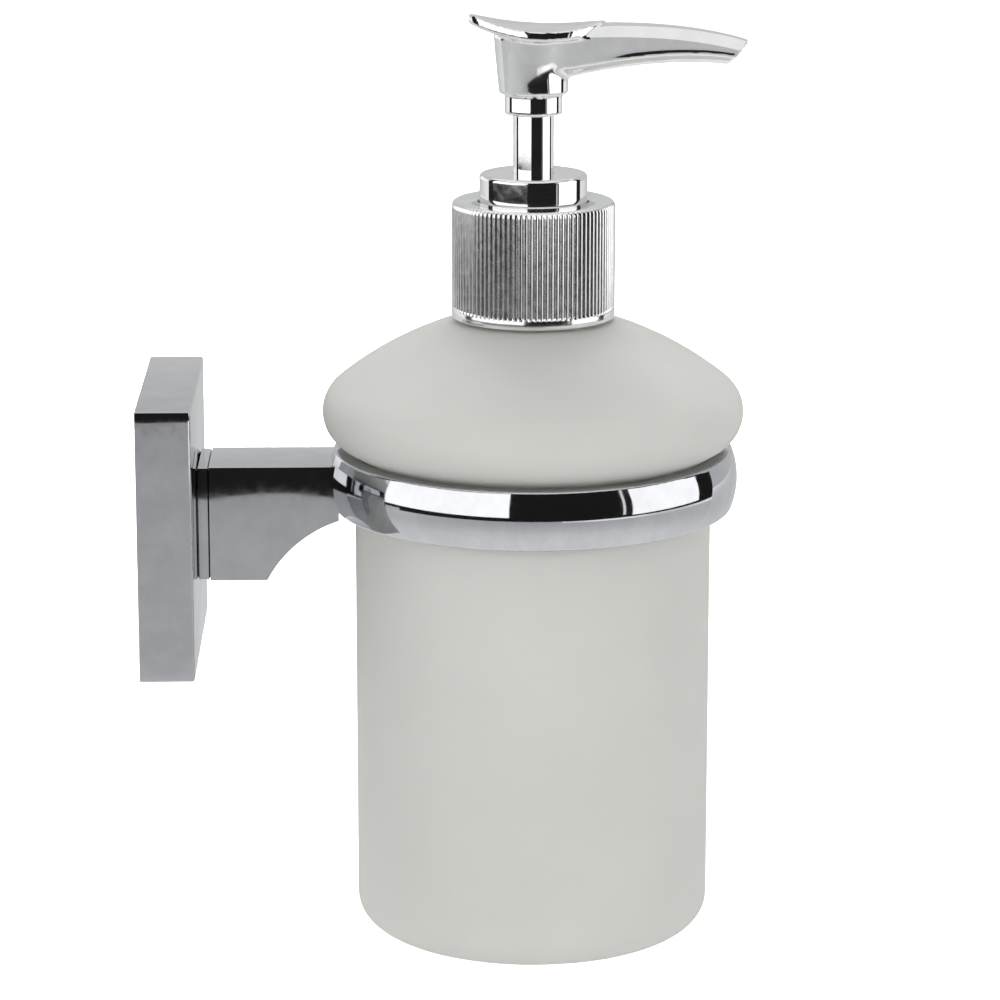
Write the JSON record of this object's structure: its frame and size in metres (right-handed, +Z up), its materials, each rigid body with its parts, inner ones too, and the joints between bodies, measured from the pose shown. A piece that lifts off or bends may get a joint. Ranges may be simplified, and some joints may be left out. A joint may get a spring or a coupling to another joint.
{
  "type": "wall mounted soap dispenser",
  "caption": "Chrome wall bracket with a square plate and ring that carries a frosted glass bottle with a fluted screw closure and a press-down swivelling pump head.",
  "frame": {"origin": "on the wall plane, at the centre of the square wall plate and midway between the two wall screw holes", "axes": "+Z up, +Y into the wall, the arm, bottle and spout stand out towards -Y, X runs across the wall"},
  "size_m": [0.0778, 0.1109, 0.1716],
  "materials": {
    "chrome_cast": "polished chrome plate on cast metal",
    "chrome_plastic": "bright chrome plate on moulded plastic",
    "zinc_plate": "dull zinc casting",
    "steel": "bare stainless steel",
    "frosted_glass": "acid-frosted, grey-green, evenly diffusing",
    "white_plastic": "natural white polypropylene",
    "clear_plastic": "translucent extruded tube",
    "seal_plastic": "soft translucent polyethylene",
    "seal_rubber": "pale foamed seal"
  },
  "bodies": {
    "bracket": {"wall_cover": "chrome_cast", "mounting_plate": "zinc_plate", "set_screw": "steel", "arm_washer": "steel", "arm_screw": "steel", "arm": "chrome_cast", "holder_ring": "chrome_cast"},
    "bottle": {"bottle": "frosted_glass"},
    "pump": {"pump_housing": "white_plastic", "lock_collar": "chrome_plastic", "gasket": "seal_rubber", "dip_tube": "clear_plastic", "return_spring": "steel"},
    "closure": {"closure_shell": "chrome_plastic", "closure_cap": "white_plastic"},
    "plunger": {"piston_seal": "seal_plastic"},
    "head": {"piston_rod": "white_plastic", "stem": "white_plastic", "stem_sleeve": "chrome_plastic", "actuator_core": "white_plastic", "actuator_shell": "chrome_plastic"},
    "inlet_valve": {"inlet_ball": "steel"},
    "outlet_valve": {"outlet_ball": "steel"}
  },
  "joints": [
    {"name": "bottle_lift", "type": "slide", "parent": "bracket", "child": "bottle", "axis": [0, 0, 1], "range_m": [0, 0.1]},
    {"name": "pump_unscrew", "type": "slide", "parent": "bottle", "child": "pump", "axis": [0, 0, 1], "range_m": [0, 0.00528]},
    {"name": "closure_turn", "type": "hinge", "parent": "pump", "child": "closure", "pos_m": [0, -0.072, 0.048], "axis": [0, 0, 1], "range_deg": [0, 450]},
    {"name": "pump_press", "type": "slide", "parent": "pump", "child": "plunger", "axis": [0, 0, -1], "range_m": [0, 0.0105], "stiffness_N_per_m": 450, "springref_m": -0.008, "deforming": ["return_spring"]},
    {"name": "head_swivel", "type": "hinge", "parent": "plunger", "child": "head", "pos_m": [0, -0.072, 0.07], "axis": [0, 0, 1], "continuous": true},
    {"name": "inlet_ball_lift", "type": "slide", "parent": "pump", "child": "inlet_valve", "axis": [0, 0, 1], "range_m": [0, 0.0015]},
    {"name": "outlet_ball_lift", "type": "slide", "parent": "head", "child": "outlet_valve", "axis": [0, 0, 1], "range_m": [0, 0.0009]}
  ],
  "couplings": [
    {"joint": "closure_turn", "follows": "pump_unscrew", "rad_per_m": 1485.4}
  ]
}
